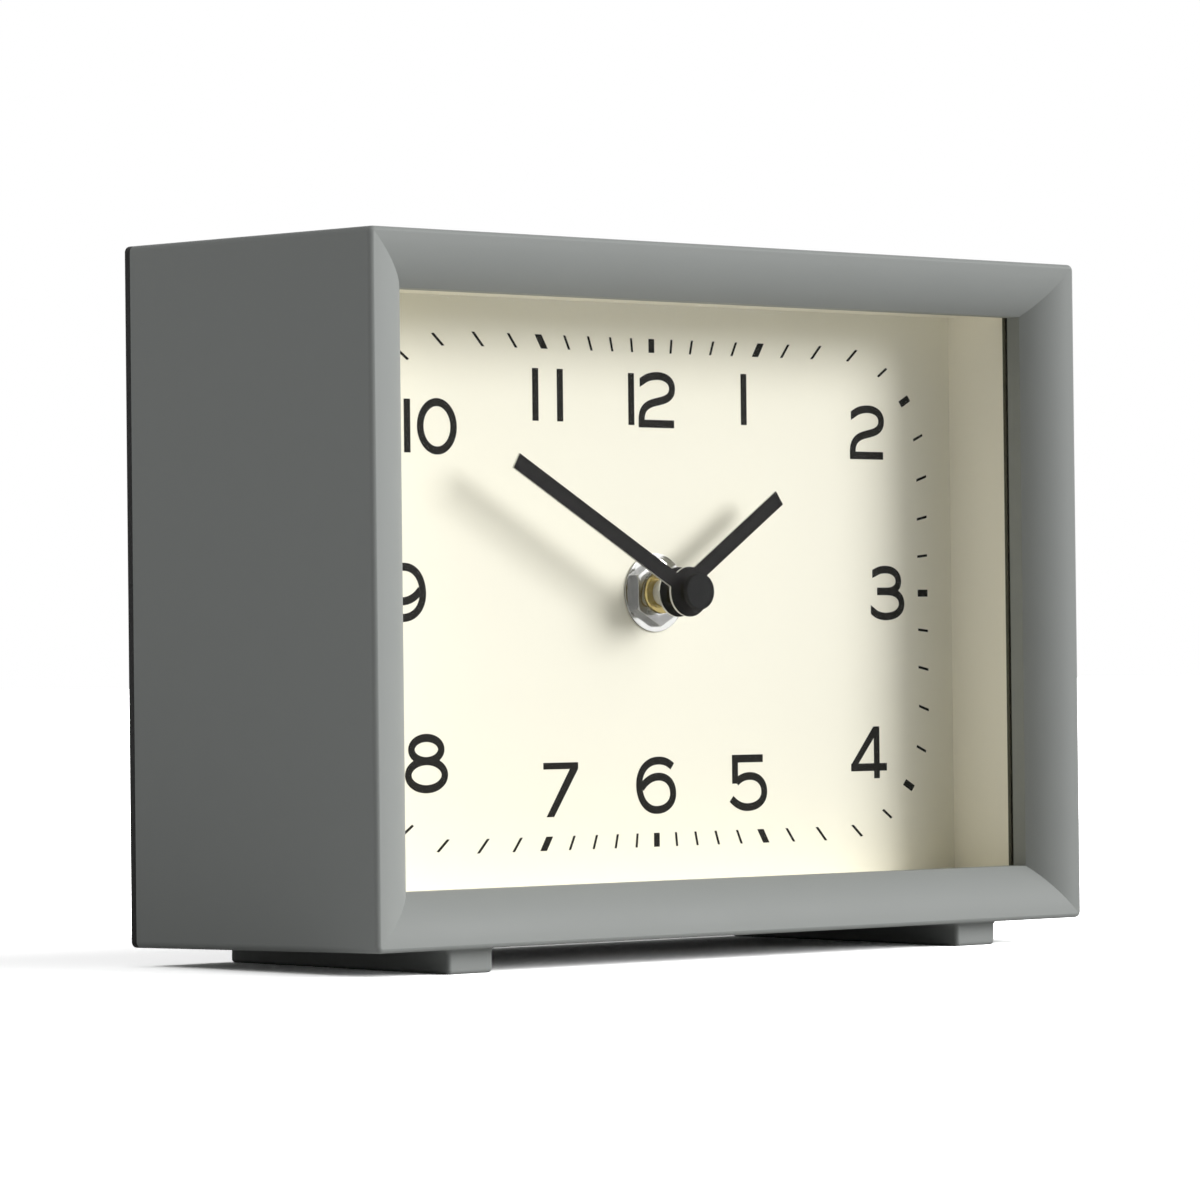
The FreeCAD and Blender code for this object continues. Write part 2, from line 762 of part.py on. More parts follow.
def setting_knob():
    front = movement_back + layer_gap
    back = movement_back + knob_height
    body = rod(knob_radius, front, back, setting_place)
    flutes = [rod(flute_radius, front, back, polar(setting_place, knob_radius, 360 * n / knob_flutes))
              for n in range(knob_flutes)]
    body = body.cut(Part.makeCompound(flutes))
    return body.cut(rod(setting_radius + seated, front, back - knob_web, setting_place))


# Going train: rotor, fifth, fourth and third wheels, then the friction wheel on the minute arbor

rotor_phase = 0.0
fifth_phase = meshed_phase(train_pinion_teeth, rotor_place, rotor_phase, fifth_teeth, fifth_place)
fourth_phase = meshed_phase(train_pinion_teeth, fifth_place, 0.0, fourth_teeth, fourth_place)
third_phase = meshed_phase(train_pinion_teeth, fourth_place, 0.0, third_teeth, third_place)
friction_phase = meshed_phase(train_pinion_teeth, third_place, 0.0, friction_teeth, centre)


def train_wheel(place, module, teeth, phase, front, back, pinion_module, pinion_front, pinion_back):
    """An arbor with its wheel and its pinion."""
    body = pivoted_arbor(place)
    body = body.fuse(gear(module, teeth, phase, front, back, place))
    body = body.fuse(gear(pinion_module, train_pinion_teeth, 0.0, pinion_front, pinion_back, place))
    return body.removeSplitter()


def friction_wheel():
    body = gear(motion_module, friction_teeth, friction_phase, friction_front, friction_back, centre)
    return body.cut(rod(friction_seat_radius + running, friction_front, friction_back))


def third_wheel():
    return train_wheel(third_place, third_module, third_teeth, third_phase, third_front, third_back,
                       motion_module, friction_front - mesh_over, friction_back + mesh_over)


def fourth_wheel():
    return train_wheel(fourth_place, fine_module, fourth_teeth, fourth_phase, fourth_front, fourth_back,
                       third_module, third_front - mesh_over, third_back + mesh_over)


def fifth_wheel():
    return train_wheel(fifth_place, fine_module, fifth_teeth, fifth_phase, fifth_front, fifth_back,
                       fine_module, fourth_front - mesh_over, fourth_back + mesh_over)


def rotor_shaft():
    body = pivoted_arbor(rotor_place)
    body = body.fuse(gear(fine_module, train_pinion_teeth, rotor_phase, fifth_front - mesh_over,
                          fifth_back + mesh_over, rotor_place))
    return body.removeSplitter()


def rotor_magnet():
    return ring(magnet_radius, arbor_radius + seated, magnet_front, magnet_back, rotor_place)


# Motor, board and battery

def stator():
    left = (arm_left, rotor_place[1])
    right = (arm_right, rotor_place[1])
    body = rod(rotor_ring, stator_front, stator_back, rotor_place)
    for start, end in ((left, (arm_left, coil_z)), (rotor_place, right), (right, (arm_right, coil_z))):
        body = body.fuse(bar_between(start, end, arm_width, stator_front, stator_back))
    return body.cut(rod(magnet_radius + rotor_gap, stator_front, stator_back, rotor_place)).removeSplitter()


def coil_core():
    half = arm_width / 2
    return block(arm_left - half, arm_right + half, coil_z - half, coil_z + half, stator_back, core_back)


def coil_rod(radius, left, right):
    """A cylinder along the coil's axis."""
    return Part.makeCylinder(radius, right - left, at((left, coil_z), coil_depth), V(1, 0, 0))


def coil_bobbin():
    body = coil_rod(bobbin_radius, coil_left, coil_right)
    for left in (coil_left, coil_right - bobbin_flange):
        body = body.fuse(coil_rod(winding_radius, left, left + bobbin_flange))
    half = arm_width / 2 + seated
    slot = block(coil_left, coil_right, coil_z - half, coil_z + half, stator_back - seated, core_back + seated)
    return body.cut(slot).removeSplitter()


def coil_winding():
    left, right = coil_left + bobbin_flange, coil_right - bobbin_flange
    return coil_rod(winding_radius - running, left, right).cut(coil_rod(bobbin_radius, left, right))


def train_plate():
    left = min(place[0] for place in pillar_places) - 2 * pillar_radius
    right = max(place[0] for place in pillar_places) + pillar_radius
    body = block(left, right, divider_top + slip, coil_z, train_plate_front, train_plate_back)
    for place in board_post_places():
        body = body.fuse(rod(pillar_radius, train_plate_back, board_front, place))
    for place in (motion_place, third_place, fourth_place, fifth_place, rotor_place):
        body = body.cut(rod(pivot_radius + running, train_plate_front, train_plate_back, place))
    body = body.cut(rod(arbor_radius + running, train_plate_front, train_plate_back))
    body = body.cut(rod(setting_radius + running, train_plate_front, train_plate_back, setting_place))
    for place in pillar_places:
        body = body.cut(rod(plate_screw_radius + slip, train_plate_front, train_plate_back, place))
    return body.removeSplitter()


def board_post_places():
    return [(third_place[0], pillar_low), (third_place[0], fifth_place[1]), (motion_place[0], pillar_low)]


def train_plate_screws():
    return Part.makeCompound([
        screw(place, plate_head_radius, train_plate_back + plate_head_height, plate_head_height, plate_screw_radius,
              plate_screw_length)
        for place in pillar_places
    ])


def circuit_board():
    """An L-shaped board: a field behind the train and an arm along the battery bay."""
    reach = bay_half_x - slip - contact_thickness
    low = divider_top + slip
    body = block(-reach, centre[0], low, coil_z - arm_width, board_front, board_back)
    return body.fuse(block(centre[0], reach, low, low + board_arm, board_front, board_back)).removeSplitter()


def quartz_crystal():
    foot = at((crystal_inset - bay_half_x, fourth_place[1]), board_back + crystal_radius)
    return Part.makeCylinder(crystal_radius, crystal_length, foot, V(1, 0, 0))


def control_chip():
    return rod(chip_radius, board_back, board_back + chip_height, third_place)


def battery():
    left = -battery_length / 2
    foot = at((left, battery_z), battery_depth)
    right = V(1, 0, 0)
    body = Part.makeCylinder(battery_radius, battery_length - battery_nub, foot, right)
    body = round_edges(body, battery_gap, lambda p: True)
    nub = Part.makeCylinder(battery_nub_radius, battery_length, foot, right)
    nub = nub.cut(Part.makeCylinder(battery_nub_radius, battery_length / 2, foot, right))
    return body.fuse(nub).removeSplitter()


def battery_contact(side):
    """A strip against one end of the battery, with a tail up to the circuit board."""
    near_end, far_end = sorted((side * battery_length / 2, side * (battery_length / 2 + contact_thickness)))
    face = block(near_end, far_end, battery_z - contact_half, battery_z + contact_half,
                 battery_depth - contact_half, battery_depth + contact_half)
    tail = block(near_end, far_end, battery_z, divider_top + board_arm / 2, board_front - contact_tail, board_front)
    return face.fuse(tail).removeSplitter()


# Movement case

def movement_front_case():
    body = block(-movement_half_x, movement_half_x, movement_bottom, movement_top, movement_front, lid_front)
    body = body.cut(block(-bay_half_x, bay_half_x, divider_top, bay_top, shell_inner, lid_front))
    body = body.cut(block(-bay_half_x, bay_half_x, bay_bottom, divider_bottom, shell_inner, lid_front))
    slot_front = board_front - contact_tail - slip
    for side in (-1, 1):
        inner, outer = sorted((side * (battery_length / 2 - slip), side * bay_half_x))
        body = body.cut(block(inner, outer, divider_bottom, divider_top, slot_front, lid_front))
    for place in (motion_place, setting_place, third_place, fourth_place, fifth_place, rotor_place):
        body = body.fuse(rod(bearing_radius, shell_inner, bearing_back, place))
        body = body.cut(rod(pivot_radius + running, bearing_back - pivot_depth - running, bearing_back, place))
    for place in pillar_places:
        body = body.fuse(rod(pillar_radius, shell_inner, train_plate_front, place))
        body = body.cut(rod(plate_screw_radius + seated, train_plate_back - plate_screw_length - running,
                            train_plate_front, place))
    for place in ((arm_right, rotor_place[1]), (arm_left, coil_z)):
        body = body.fuse(rod(arm_width / 2, shell_inner, stator_front, place))
    return body.cut(rod(bush_radius + seated, movement_front, shell_inner)).removeSplitter()


def movement_back_case():
    body = block(-movement_half_x, movement_half_x, divider_bottom, movement_top, lid_front, movement_back)
    rim_front = lid_front - lid_rim
    outer, inner = [
        block(off - bay_half_x, bay_half_x - off, divider_top + off, bay_top - off, rim_front, lid_front)
        for off in (slip, slip + lid_rim)
    ]
    body = body.fuse(outer.cut(inner))
    return body.cut(rod(setting_radius + running, lid_front, movement_back, setting_place)).removeSplitter()


def movement_gasket():
    return ring(gasket_radius, bush_radius + slip, dial_back, movement_front)


pieces = {
    "case_shell": case_shell(),
    "lens": lens(),
    "lens_seal": lens_seal(),
    "dial_surround": dial_surround(),
    "dial_plate": dial_plate(),
    "dial_screws": dial_screws(),
    "rear_cover": rear_cover(),
    "rear_cover_screws": rear_cover_screws(),
    "battery_door": battery_door(),
    "door_hinge_pin": door_hinge_pin(),
    "threaded_bush": threaded_bush(),
    "dial_washer": dial_washer(),
    "clamp_nut": clamp_nut(),
    "hour_hand": hour_hand(),
    "hour_hand_collet": hour_hand_collet(),
    "minute_hand": minute_hand(),
    "minute_hand_collet": minute_hand_collet(),
    "hand_cap": hand_cap(),
    "hour_wheel": hour_wheel(),
    "minute_arbor": minute_arbor(),
    "motion_wheel": motion_wheel(),
    "setting_shaft": setting_shaft(),
    "setting_knob": setting_knob(),
    "friction_wheel": friction_wheel(),
    "third_wheel": third_wheel(),
    "fourth_wheel": fourth_wheel(),
    "fifth_wheel": fifth_wheel(),
    "rotor_shaft": rotor_shaft(),
    "rotor_magnet": rotor_magnet(),
    "stator": stator(),
    "coil_core": coil_core(),
    "coil_bobbin": coil_bobbin(),
    "coil_winding": coil_winding(),
    "train_plate": train_plate(),
    "train_plate_screws": train_plate_screws(),
    "circuit_board": circuit_board(),
    "quartz_crystal": quartz_crystal(),
    "control_chip": control_chip(),
    "battery": battery(),
    "battery_contact_positive": battery_contact(1),
    "battery_contact_negative": battery_contact(-1),
    "movement_front_case": movement_front_case(),
    "movement_back_case": movement_back_case(),
    "movement_gasket": movement_gasket(),
}

os.makedirs("parts", exist_ok=True)
for name, shape in pieces.items():
    shape.exportStep("parts/" + name + ".step")
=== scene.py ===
import json
import math

import bmesh
import bpy
from mathutils import Matrix, Vector
from mathutils.geometry import delaunay_2d_cdt, interpolate_bezier


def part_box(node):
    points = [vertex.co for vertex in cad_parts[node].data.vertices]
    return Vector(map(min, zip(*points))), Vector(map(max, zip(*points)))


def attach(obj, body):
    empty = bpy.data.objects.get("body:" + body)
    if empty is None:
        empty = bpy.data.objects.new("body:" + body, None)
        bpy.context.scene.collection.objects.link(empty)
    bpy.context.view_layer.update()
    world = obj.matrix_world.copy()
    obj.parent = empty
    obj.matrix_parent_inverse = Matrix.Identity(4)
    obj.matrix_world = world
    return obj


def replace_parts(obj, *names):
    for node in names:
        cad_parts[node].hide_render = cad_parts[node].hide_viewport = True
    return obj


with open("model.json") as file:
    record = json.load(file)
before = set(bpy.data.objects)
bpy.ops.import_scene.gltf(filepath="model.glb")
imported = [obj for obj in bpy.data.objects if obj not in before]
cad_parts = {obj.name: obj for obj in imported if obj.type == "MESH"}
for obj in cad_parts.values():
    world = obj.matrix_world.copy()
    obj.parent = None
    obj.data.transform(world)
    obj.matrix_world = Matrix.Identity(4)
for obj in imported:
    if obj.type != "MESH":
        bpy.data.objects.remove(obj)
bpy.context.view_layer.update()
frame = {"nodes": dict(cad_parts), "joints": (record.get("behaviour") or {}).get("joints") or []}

# Sizes are in millimetres and become metres through MM. The clock faces -Y and stands on z = 0.
MM = 0.001
scene = bpy.context.scene
scene.view_settings.view_transform = "Standard"
nodes = frame["nodes"]
arbor = next(joint for joint in frame["joints"] if joint["name"] == "minute_turn")["pos_m"]
axis = Vector((arbor[0], 0, arbor[2]))
dial_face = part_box("dial_plate")[0].y

# Printing on the dial
ink_thickness = 0.04
stroke_width = 1.5
curve_steps = 14
ring_steps = 64
one_width = 1.47
one_height = 9.9
track_half_width = 70.49
track_half_height = 47.18
track_corner = 22.2
tick_length = 2.65
minute_tick_width = 0.5
hour_tick_width = 1.4
ticks_per_turn = 60
ticks_per_hour = 5
corner_steps = 32

# Hub
bush_radius = 4.0
bush_bore = 2.55
bush_flange_depth = 0.8
thread_pitch = 0.75
thread_depth = 0.35
thread_sides = 64
thread_rows = 8          # rows of vertices along one pitch
hub_arris = 0.08
hand_arris = 0.05
door_arris = 0.25
arris_steps = 2

# Making of meshes
weld_distance = 0.001
flat_angle = math.radians(0.5)       # faces nearer to level than this become one
ink_flat_angle = math.radians(1)
sharp_angle = math.radians(35)       # edges sharper than this stay crisp
thread_sharp_angle = math.radians(50)
fence_height = 10.0                  # of the walls that measure the ticks
fence_reach = 1000.0                 # how far a corner may be thrown to meet them
stroke_weld = 1e-4                   # points of two strokes nearer than this are one
front_facing = 0.5                   # share of a face's normal that points forwards on the front of a hand

# Patches over which a finish drifts in colour and gloss
moulding_patch = 22.0
turning_patch = 1.5
rolling_patch = 4.0
winding_patch = 1.0
moulding_swing = 0.04
metal_swing = 0.05
rolling_swing = 0.06
drift_span = (0.3, 0.7)  # what the drifting noise reaches

# Camera, from the case's corners and the minute ticks in the photograph: metres, radians, and millimetres of lens
camera_place = (-0.67124, -0.79434, 0.05336)
camera_turn = -0.69821
camera_tilt = 0.01411
camera_roll = 0.01122
camera_lens = 162.05
camera_sensor = 36.0

# Light
# Each lamp: where it stands from the clock, how wide it looks from there in radians, and its strength
lamps = {
    "key": ((0.87, -1.0, 0.42), 0.48, 2.2),
    "key_halo": ((0.9, -1.0, 0.67), 1.1, 1.45),
    "fill": ((-0.8, 0.25, 0.7), 0.5, 0.57),
}
sky_strength = 0.13
floor_reach = 30.0       # metres
floor_albedo = 0.6
floor_shown = 4.0        # the floor's brightness to the eye alone, so that it reads white in this light
floor_mirrored = 1.55    # and in metal and glass


def linear(colour):
    """An sRGB hex colour as linear red, green, blue and alpha."""
    parts = [int(colour[i:i + 2], 16) / 255 for i in (1, 3, 5)]
    return [p / 12.92 if p <= 0.04045 else ((p + 0.055) / 1.055) ** 2.4 for p in parts] + [1.0]


def per(size):
    """Scale of a texture whose features are about this many millimetres across."""
    return 1 / (size * MM)


def per_line(spacing):
    """Scale of a wave texture whose lines are this many millimetres apart."""
    return per(spacing) * 2 * math.pi / 20


def add(tree, kind, inputs=None, **settings):
    """Adds one node with its settings, then sets or links its sockets, named or numbered."""
    node = tree.nodes.new(kind)
    for key, value in settings.items():
        setattr(node, key, value)
    for key, value in (inputs or {}).items():
        if isinstance(value, bpy.types.NodeSocket):
            tree.links.new(value, node.inputs[key])
        else:
            node.inputs[key].default_value = value
    return node


def surface(name, constants):
    """A material with one shader, its constants set, and the piece's own coordinates."""
    made = bpy.data.materials.new(name)
    made.use_nodes = True
    tree = made.node_tree
    tree.nodes.clear()
    shader = add(tree, "ShaderNodeBsdfPrincipled", constants)
    add(tree, "ShaderNodeOutputMaterial", {"Surface": shader.outputs["BSDF"]})
    return made, tree, shader, add(tree, "ShaderNodeTexCoord").outputs["Object"]


def mottle(tree, shader, place, colours, roughness, patch, swing):
    """Colour and gloss that drift slowly between two values over patches of this many millimetres."""
    drift = add(tree, "ShaderNodeTexNoise", {"Vector": place, "Scale": per(patch), "Detail": 3.0}).outputs["Fac"]
    tint = add(tree, "ShaderNodeMix", {0: drift, 6: linear(colours[0]), 7: linear(colours[1])}, data_type="RGBA")
    gloss = add(tree, "ShaderNodeMapRange",
                {"Value": drift, "From Min": drift_span[0], "From Max": drift_span[1],
                 "To Min": roughness - swing, "To Max": roughness + swing})
    tree.links.new(tint.outputs[2], shader.inputs["Base Color"])
    tree.links.new(gloss.outputs["Result"], shader.inputs["Roughness"])


def moulded(name, colours, roughness, grain, depth, constants=None):
    """Moulded plastic or rubber: fine spark-eroded grain, with the slow drift of gloss along the flow."""
    made, tree, shader, place = surface(name, constants or {})
    mottle(tree, shader, place, colours, roughness, moulding_patch, moulding_swing)
    grains = add(tree, "ShaderNodeTexNoise", {"Vector": place, "Scale": per(grain), "Detail": 2.0})
    bump = add(tree, "ShaderNodeBump", {"Height": grains.outputs["Fac"], "Distance": depth * MM})
    tree.links.new(bump.outputs["Normal"], shader.inputs["Normal"])
    return made


def turned(name, colours, roughness, groove, depth):
    """Metal turned about the arbor: rings of tool marks round the hub, drawn wider than the real 0.2 mm to show."""
    made, tree, shader, place = surface(name, {"Metallic": 1.0})
    mottle(tree, shader, place, colours, roughness, turning_patch, metal_swing)
    centred = add(tree, "ShaderNodeMapping", {"Vector": place, "Location": -axis})
    rings = add(tree, "ShaderNodeTexWave",
                {"Vector": centred.outputs["Vector"], "Scale": per_line(groove), "Distortion": 0.6,
                 "Detail": 2.0, "Detail Scale": 3.0},
                wave_type="RINGS", rings_direction="Y")
    bump = add(tree, "ShaderNodeBump", {"Height": rings.outputs["Fac"], "Distance": depth * MM})
    tree.links.new(bump.outputs["Normal"], shader.inputs["Normal"])
    return made


def rolled(name, colours, roughness, scratch, depth, along=(1, 12, 1)):
    """Sheet or drawn metal: hairlines stretched along the rolling direction."""
    made, tree, shader, place = surface(name, {"Metallic": 1.0})
    mottle(tree, shader, place, colours, roughness, rolling_patch, rolling_swing)
    drawn = add(tree, "ShaderNodeMapping", {"Vector": place, "Scale": along})
    lines = add(tree, "ShaderNodeTexNoise", {"Vector": drawn.outputs["Vector"], "Scale": per(scratch), "Detail": 3.0})
    bump = add(tree, "ShaderNodeBump", {"Height": lines.outputs["Fac"], "Distance": depth * MM})
    tree.links.new(bump.outputs["Normal"], shader.inputs["Normal"])
    return made


def clear_acrylic():
    """Cast acrylic sheet: all but invisible face on, with a faint gloss and a few broad ripples."""
    made, tree, shader, place = surface(
        "clear_cast_acrylic",
        {"Base Color": linear("#2C302C"), "Alpha": 0.03, "Roughness": 0.03, "IOR": 1.49})
    ripples = add(tree, "ShaderNodeTexNoise", {"Vector": place, "Scale": per(40.0), "Detail": 1.0})
    bump = add(tree, "ShaderNodeBump", {"Height": ripples.outputs["Fac"], "Distance": 0.02 * MM})
    tree.links.new(bump.outputs["Normal"], shader.inputs["Normal"])
    return made


def wound_copper():
    """Enamelled copper wire in tight turns along the coil, drawn far wider than the real 0.1 mm, too fine to show."""
    wire_drawn = 1.885
    made, tree, shader, place = surface("enamelled_copper_wire", {"Metallic": 1.0})
    mottle(tree, shader, place, ("#8E4A22", "#B5652F"), 0.32, winding_patch, metal_swing)
    turns = add(tree, "ShaderNodeTexWave", {"Vector": place, "Scale": per_line(wire_drawn)}, bands_direction="X")
    bump = add(tree, "ShaderNodeBump", {"Height": turns.outputs["Fac"], "Distance": 0.08 * MM})
    tree.links.new(bump.outputs["Normal"], shader.inputs["Normal"])
    return made


def solder_mask():
    """Green solder mask over copper tracks, which stand out as paler lines under the lacquer."""
    made, tree, shader, place = surface("green_solder_mask", {"Roughness": 0.35})
    turned_up = add(tree, "ShaderNodeMapping", {"Vector": place, "Rotation": (math.pi / 2, 0, 0)})
    tracks = add(tree, "ShaderNodeTexBrick",
                 {"Vector": turned_up.outputs["Vector"], "Scale": per(1.0), "Color1": linear("#1D5A33"),
                  "Color2": linear("#205F37"), "Mortar": linear("#2F7C49"), "Brick Width": 4.0, "Row Height": 1.6,
                  "Mortar Size": 0.18})
    bump = add(tree, "ShaderNodeBump", {"Height": tracks.outputs["Fac"], "Distance": 0.03 * MM})
    tree.links.new(tracks.outputs["Color"], shader.inputs["Base Color"])
    tree.links.new(bump.outputs["Normal"], shader.inputs["Normal"])
    return made


def battery_sleeve():
    """Plain shrink sleeve on a dry cell: slate film with one pale band, and bare nickel at both ends."""
    made, tree, shader, place = surface("printed_shrink_sleeve", {"Roughness": 0.3})
    low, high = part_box("battery")
    along = add(tree, "ShaderNodeSeparateXYZ", {"Vector": place}).outputs["X"]
    share = add(tree, "ShaderNodeMapRange", {"Value": along, "From Min": low.x, "From Max": high.x})
    bands = add(tree, "ShaderNodeValToRGB", {"Fac": share.outputs["Result"]})
    bare = add(tree, "ShaderNodeValToRGB", {"Fac": share.outputs["Result"]})
    stops = {0.0: ("#C4C2BC", 1), 0.035: ("#39434C", 0), 0.78: ("#C9CCC8", 0), 0.83: ("#39434C", 0),
             0.955: ("#C4C2BC", 1)}
    for ramp in (bands.color_ramp, bare.color_ramp):
        ramp.interpolation = "CONSTANT"
        ramp.elements.remove(ramp.elements[1])
        for stop in list(stops)[1:]:
            ramp.elements.new(stop)
    for number, (colour, metal) in enumerate(stops.values()):
        bands.color_ramp.elements[number].color = linear(colour)
        bare.color_ramp.elements[number].color = (metal, metal, metal, 1)
    film = add(tree, "ShaderNodeTexNoise", {"Vector": place, "Scale": per(3.0), "Detail": 2.0})
    bump = add(tree, "ShaderNodeBump", {"Height": film.outputs["Fac"], "Distance": 0.02 * MM})
    tree.links.new(bands.outputs["Color"], shader.inputs["Base Color"])
    tree.links.new(bare.outputs["Color"], shader.inputs["Metallic"])
    tree.links.new(bump.outputs["Normal"], shader.inputs["Normal"])
    return made


# Each finish has its two colours, its roughness, and the spacing and depth of its marks in millimetres

# Satin ABS: broad soft highlights on the bezel's rounds and no mirror image in the flat sides.
case_abs = moulded("satin_grey_abs", ("#8B8E8C", "#909391"), 0.52, 0.5, 0.004, {"Specular IOR Level": 0.15})
# Matt enamel sprayed on sheet: even cream with the faintest orange peel.
dial_enamel = moulded("matt_cream_enamel", ("#FBF8E6", "#FDFAE9"), 0.6, 1.2, 0.003, {"Specular IOR Level": 0.3})
# Black screen ink: flat and a little brown, with pinholes too fine to draw.
dial_ink = moulded("black_screen_ink", ("#2A2927", "#2E2D2B"), 0.7, 0.4, 0.004, {"Specular IOR Level": 0.01})
# Lacquer on blanked aluminium hands: soft black face, and the bright cut edge below it.
hand_lacquer = moulded("black_hand_lacquer", ("#2B2A2A", "#2F2E2E"), 0.5, 0.3, 0.002, {"Specular IOR Level": 0.01})
hand_edge = rolled("blanked_aluminium_edge", ("#B9B9B6", "#CFCFCC"), 0.3, 0.2, 0.004)

finishes = {
    "grey_case_plastic": case_abs,
    "cream_dial": dial_enamel,
    "clear_lens": clear_acrylic(),
    # Rubber seal: dull, no highlight. Its olive dark grey is painted shade, standing for the shaded strip just inside
    # the bezel's lip.
    "seal_rubber": moulded("rubber_seal_painted_shade", ("#47463A", "#4F4E42"), 0.8, 0.5, 0.02),
    # ABS again, but cream: the walls pass their colour on to the dial.
    "cream_surround": moulded("matt_cream_abs", ("#FCF8E9", "#FEFAEC"), 0.6, 0.6, 0.006),
    # Coarse moulded texture on the back, which breaks up its highlight.
    "black_cover_plastic": moulded("textured_black_abs", ("#0E0E0E", "#151515"), 0.42, 0.9, 0.1,
                                   {"Specular IOR Level": 0.12}),
    # Zinc-plated steel: cool grey with a slight cloud in the plating.
    "screw_steel": rolled("zinc_plated_steel", ("#A7A9AA", "#BFC1C2"), 0.34, 0.3, 0.006),
    # Nickel-plated steel: bright flats that mirror the dial, with turning marks on the faces.
    "nut_chrome": turned("nickel_plated_steel", ("#9E9E9C", "#B2B2B0"), 0.1, 1.57, 0.001),
    # Turned brass: warm yellow, sharp highlights along each thread.
    "hub_brass": turned("turned_brass", ("#B3A168", "#C2B078"), 0.2, 1.26, 0.003),
    "hand_black": hand_lacquer,
    # Moulded cap: as dark as the hands, with a soft round edge.
    "cap_black": moulded("black_abs_cap", ("#2A2A2A", "#2E2E2E"), 0.45, 0.3, 0.003, {"Specular IOR Level": 0.01}),
    # Black polystyrene movement case with a plain moulded skin.
    "movement_plastic": moulded("black_polystyrene", ("#1B1C1E", "#232426"), 0.42, 0.5, 0.012),
    # Ivory acetal of the setting knob: milky and waxy, with no hard highlight.
    "knob_plastic": moulded("ivory_acetal", ("#D8D3C2", "#E0DBCB"), 0.38, 0.4, 0.006),
    # Grey acetal of the hour tube: waxy, a little greyer than the wheels.
    "tube_plastic": moulded("grey_acetal", ("#BDBDB8", "#C8C8C3"), 0.38, 0.3, 0.004),
    # Acetal wheels: white and waxy, with soft highlights on the teeth.
    "gear_plastic": moulded("natural_acetal", ("#DCD9CE", "#E6E3D9"), 0.4, 0.3, 0.004),
    # Ground steel arbors: narrow bright line along each.
    "arbor_steel": rolled("ground_steel", ("#9A9C9E", "#B2B4B6"), 0.2, 0.1, 0.002),
    # Sintered ferrite: charcoal, dull and slightly granular.
    "magnet_ferrite": moulded("sintered_ferrite", ("#2A2B2D", "#3A3B3D"), 0.65, 0.25, 0.02),
    # Annealed nickel-iron sheet: grey, with blanking burnish.
    "stator_iron": rolled("annealed_nickel_iron", ("#8A8782", "#A19E98"), 0.4, 0.2, 0.006),
    "coil_copper": wound_copper(),
    # Nylon bobbin: off-white and slightly translucent to the eye.
    "bobbin_plastic": moulded("nylon_bobbin", ("#C9C4B2", "#D3CEBD"), 0.45, 0.4, 0.006),
    "board_green": solder_mask(),
    # Drawn can of the crystal: silver with lengthways draw lines.
    "crystal_can": rolled("drawn_nickel_can", ("#B5B5B0", "#C9C9C4"), 0.22, 0.15, 0.004, (1, 1, 12)),
    # Epoxy drop over the chip: black and wet-looking.
    "chip_epoxy": moulded("black_epoxy_drop", ("#0C0C0D", "#121213"), 0.16, 1.5, 0.01),
    "battery_sleeve": battery_sleeve(),
    # Nickel-plated spring strip: bright, with rolling lines.
    "contact_nickel": rolled("nickel_plated_strip", ("#BDBBB4", "#D0CEC7"), 0.24, 0.2, 0.004),
}
for node in nodes.values():
    for slot in node.material_slots:
        slot.material = finishes[slot.material.name]


def placed(name, mesh, body):
    """Puts a finished mesh in the scene as a piece that moves with a body."""
    piece = bpy.data.objects.new(name, mesh)
    scene.collection.objects.link(piece)
    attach(piece, body)
    return piece


def welded(node):
    """A CAD node's shape as one welded mesh, with its flat faces whole again."""
    shape = bmesh.new()
    shape.from_mesh(nodes[node].data)
    bmesh.ops.remove_doubles(shape, verts=shape.verts, dist=weld_distance * MM)
    bmesh.ops.dissolve_limit(shape, angle_limit=flat_angle, verts=shape.verts, edges=shape.edges)
    mesh = bpy.data.meshes.new(node)
    shape.to_mesh(mesh)
    shape.free()
    if "custom_normal" in mesh.attributes:
        mesh.attributes.remove(mesh.attributes["custom_normal"])
    mesh.shade_smooth()
    mesh.set_sharp_from_angle(angle=sharp_angle)
    return mesh


def eased(node, body, slot, arris):
    """Stands for a CAD node with its sharp edges broken by a small arris, which catches the light."""
    piece = placed(node + "_eased", welded(node), body)
    piece.data.materials.append(finishes[slot])
    edge = piece.modifiers.new("arris", "BEVEL")
    edge.width = arris * MM
    edge.segments = arris_steps
    edge.limit_method = "ANGLE"
    edge.angle_limit = sharp_angle
    edge.harden_normals = True
    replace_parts(piece, node)
    return piece


def clock_hand(node, body):
    """A blanked hand: lacquered front, bare metal on its cut edge and back."""
    piece = eased(node, body, "hand_black", hand_arris)
    piece.data.materials.append(hand_edge)
    for face in piece.data.polygons:
        face.material_index = 0 if -face.normal.y > front_facing else 1
    return piece


clock_hand("hour_hand", "hour")
clock_hand("minute_hand", "minute")
for node, body, slot in (("dial_washer", "case", "nut_chrome"), ("clamp_nut", "case", "nut_chrome"),
                         ("hour_hand_collet", "hour", "hub_brass"),
                         ("minute_hand_collet", "minute", "hub_brass")):
    eased(node, body, slot, hub_arris)
eased("battery_door", "door", "black_cover_plastic", door_arris)


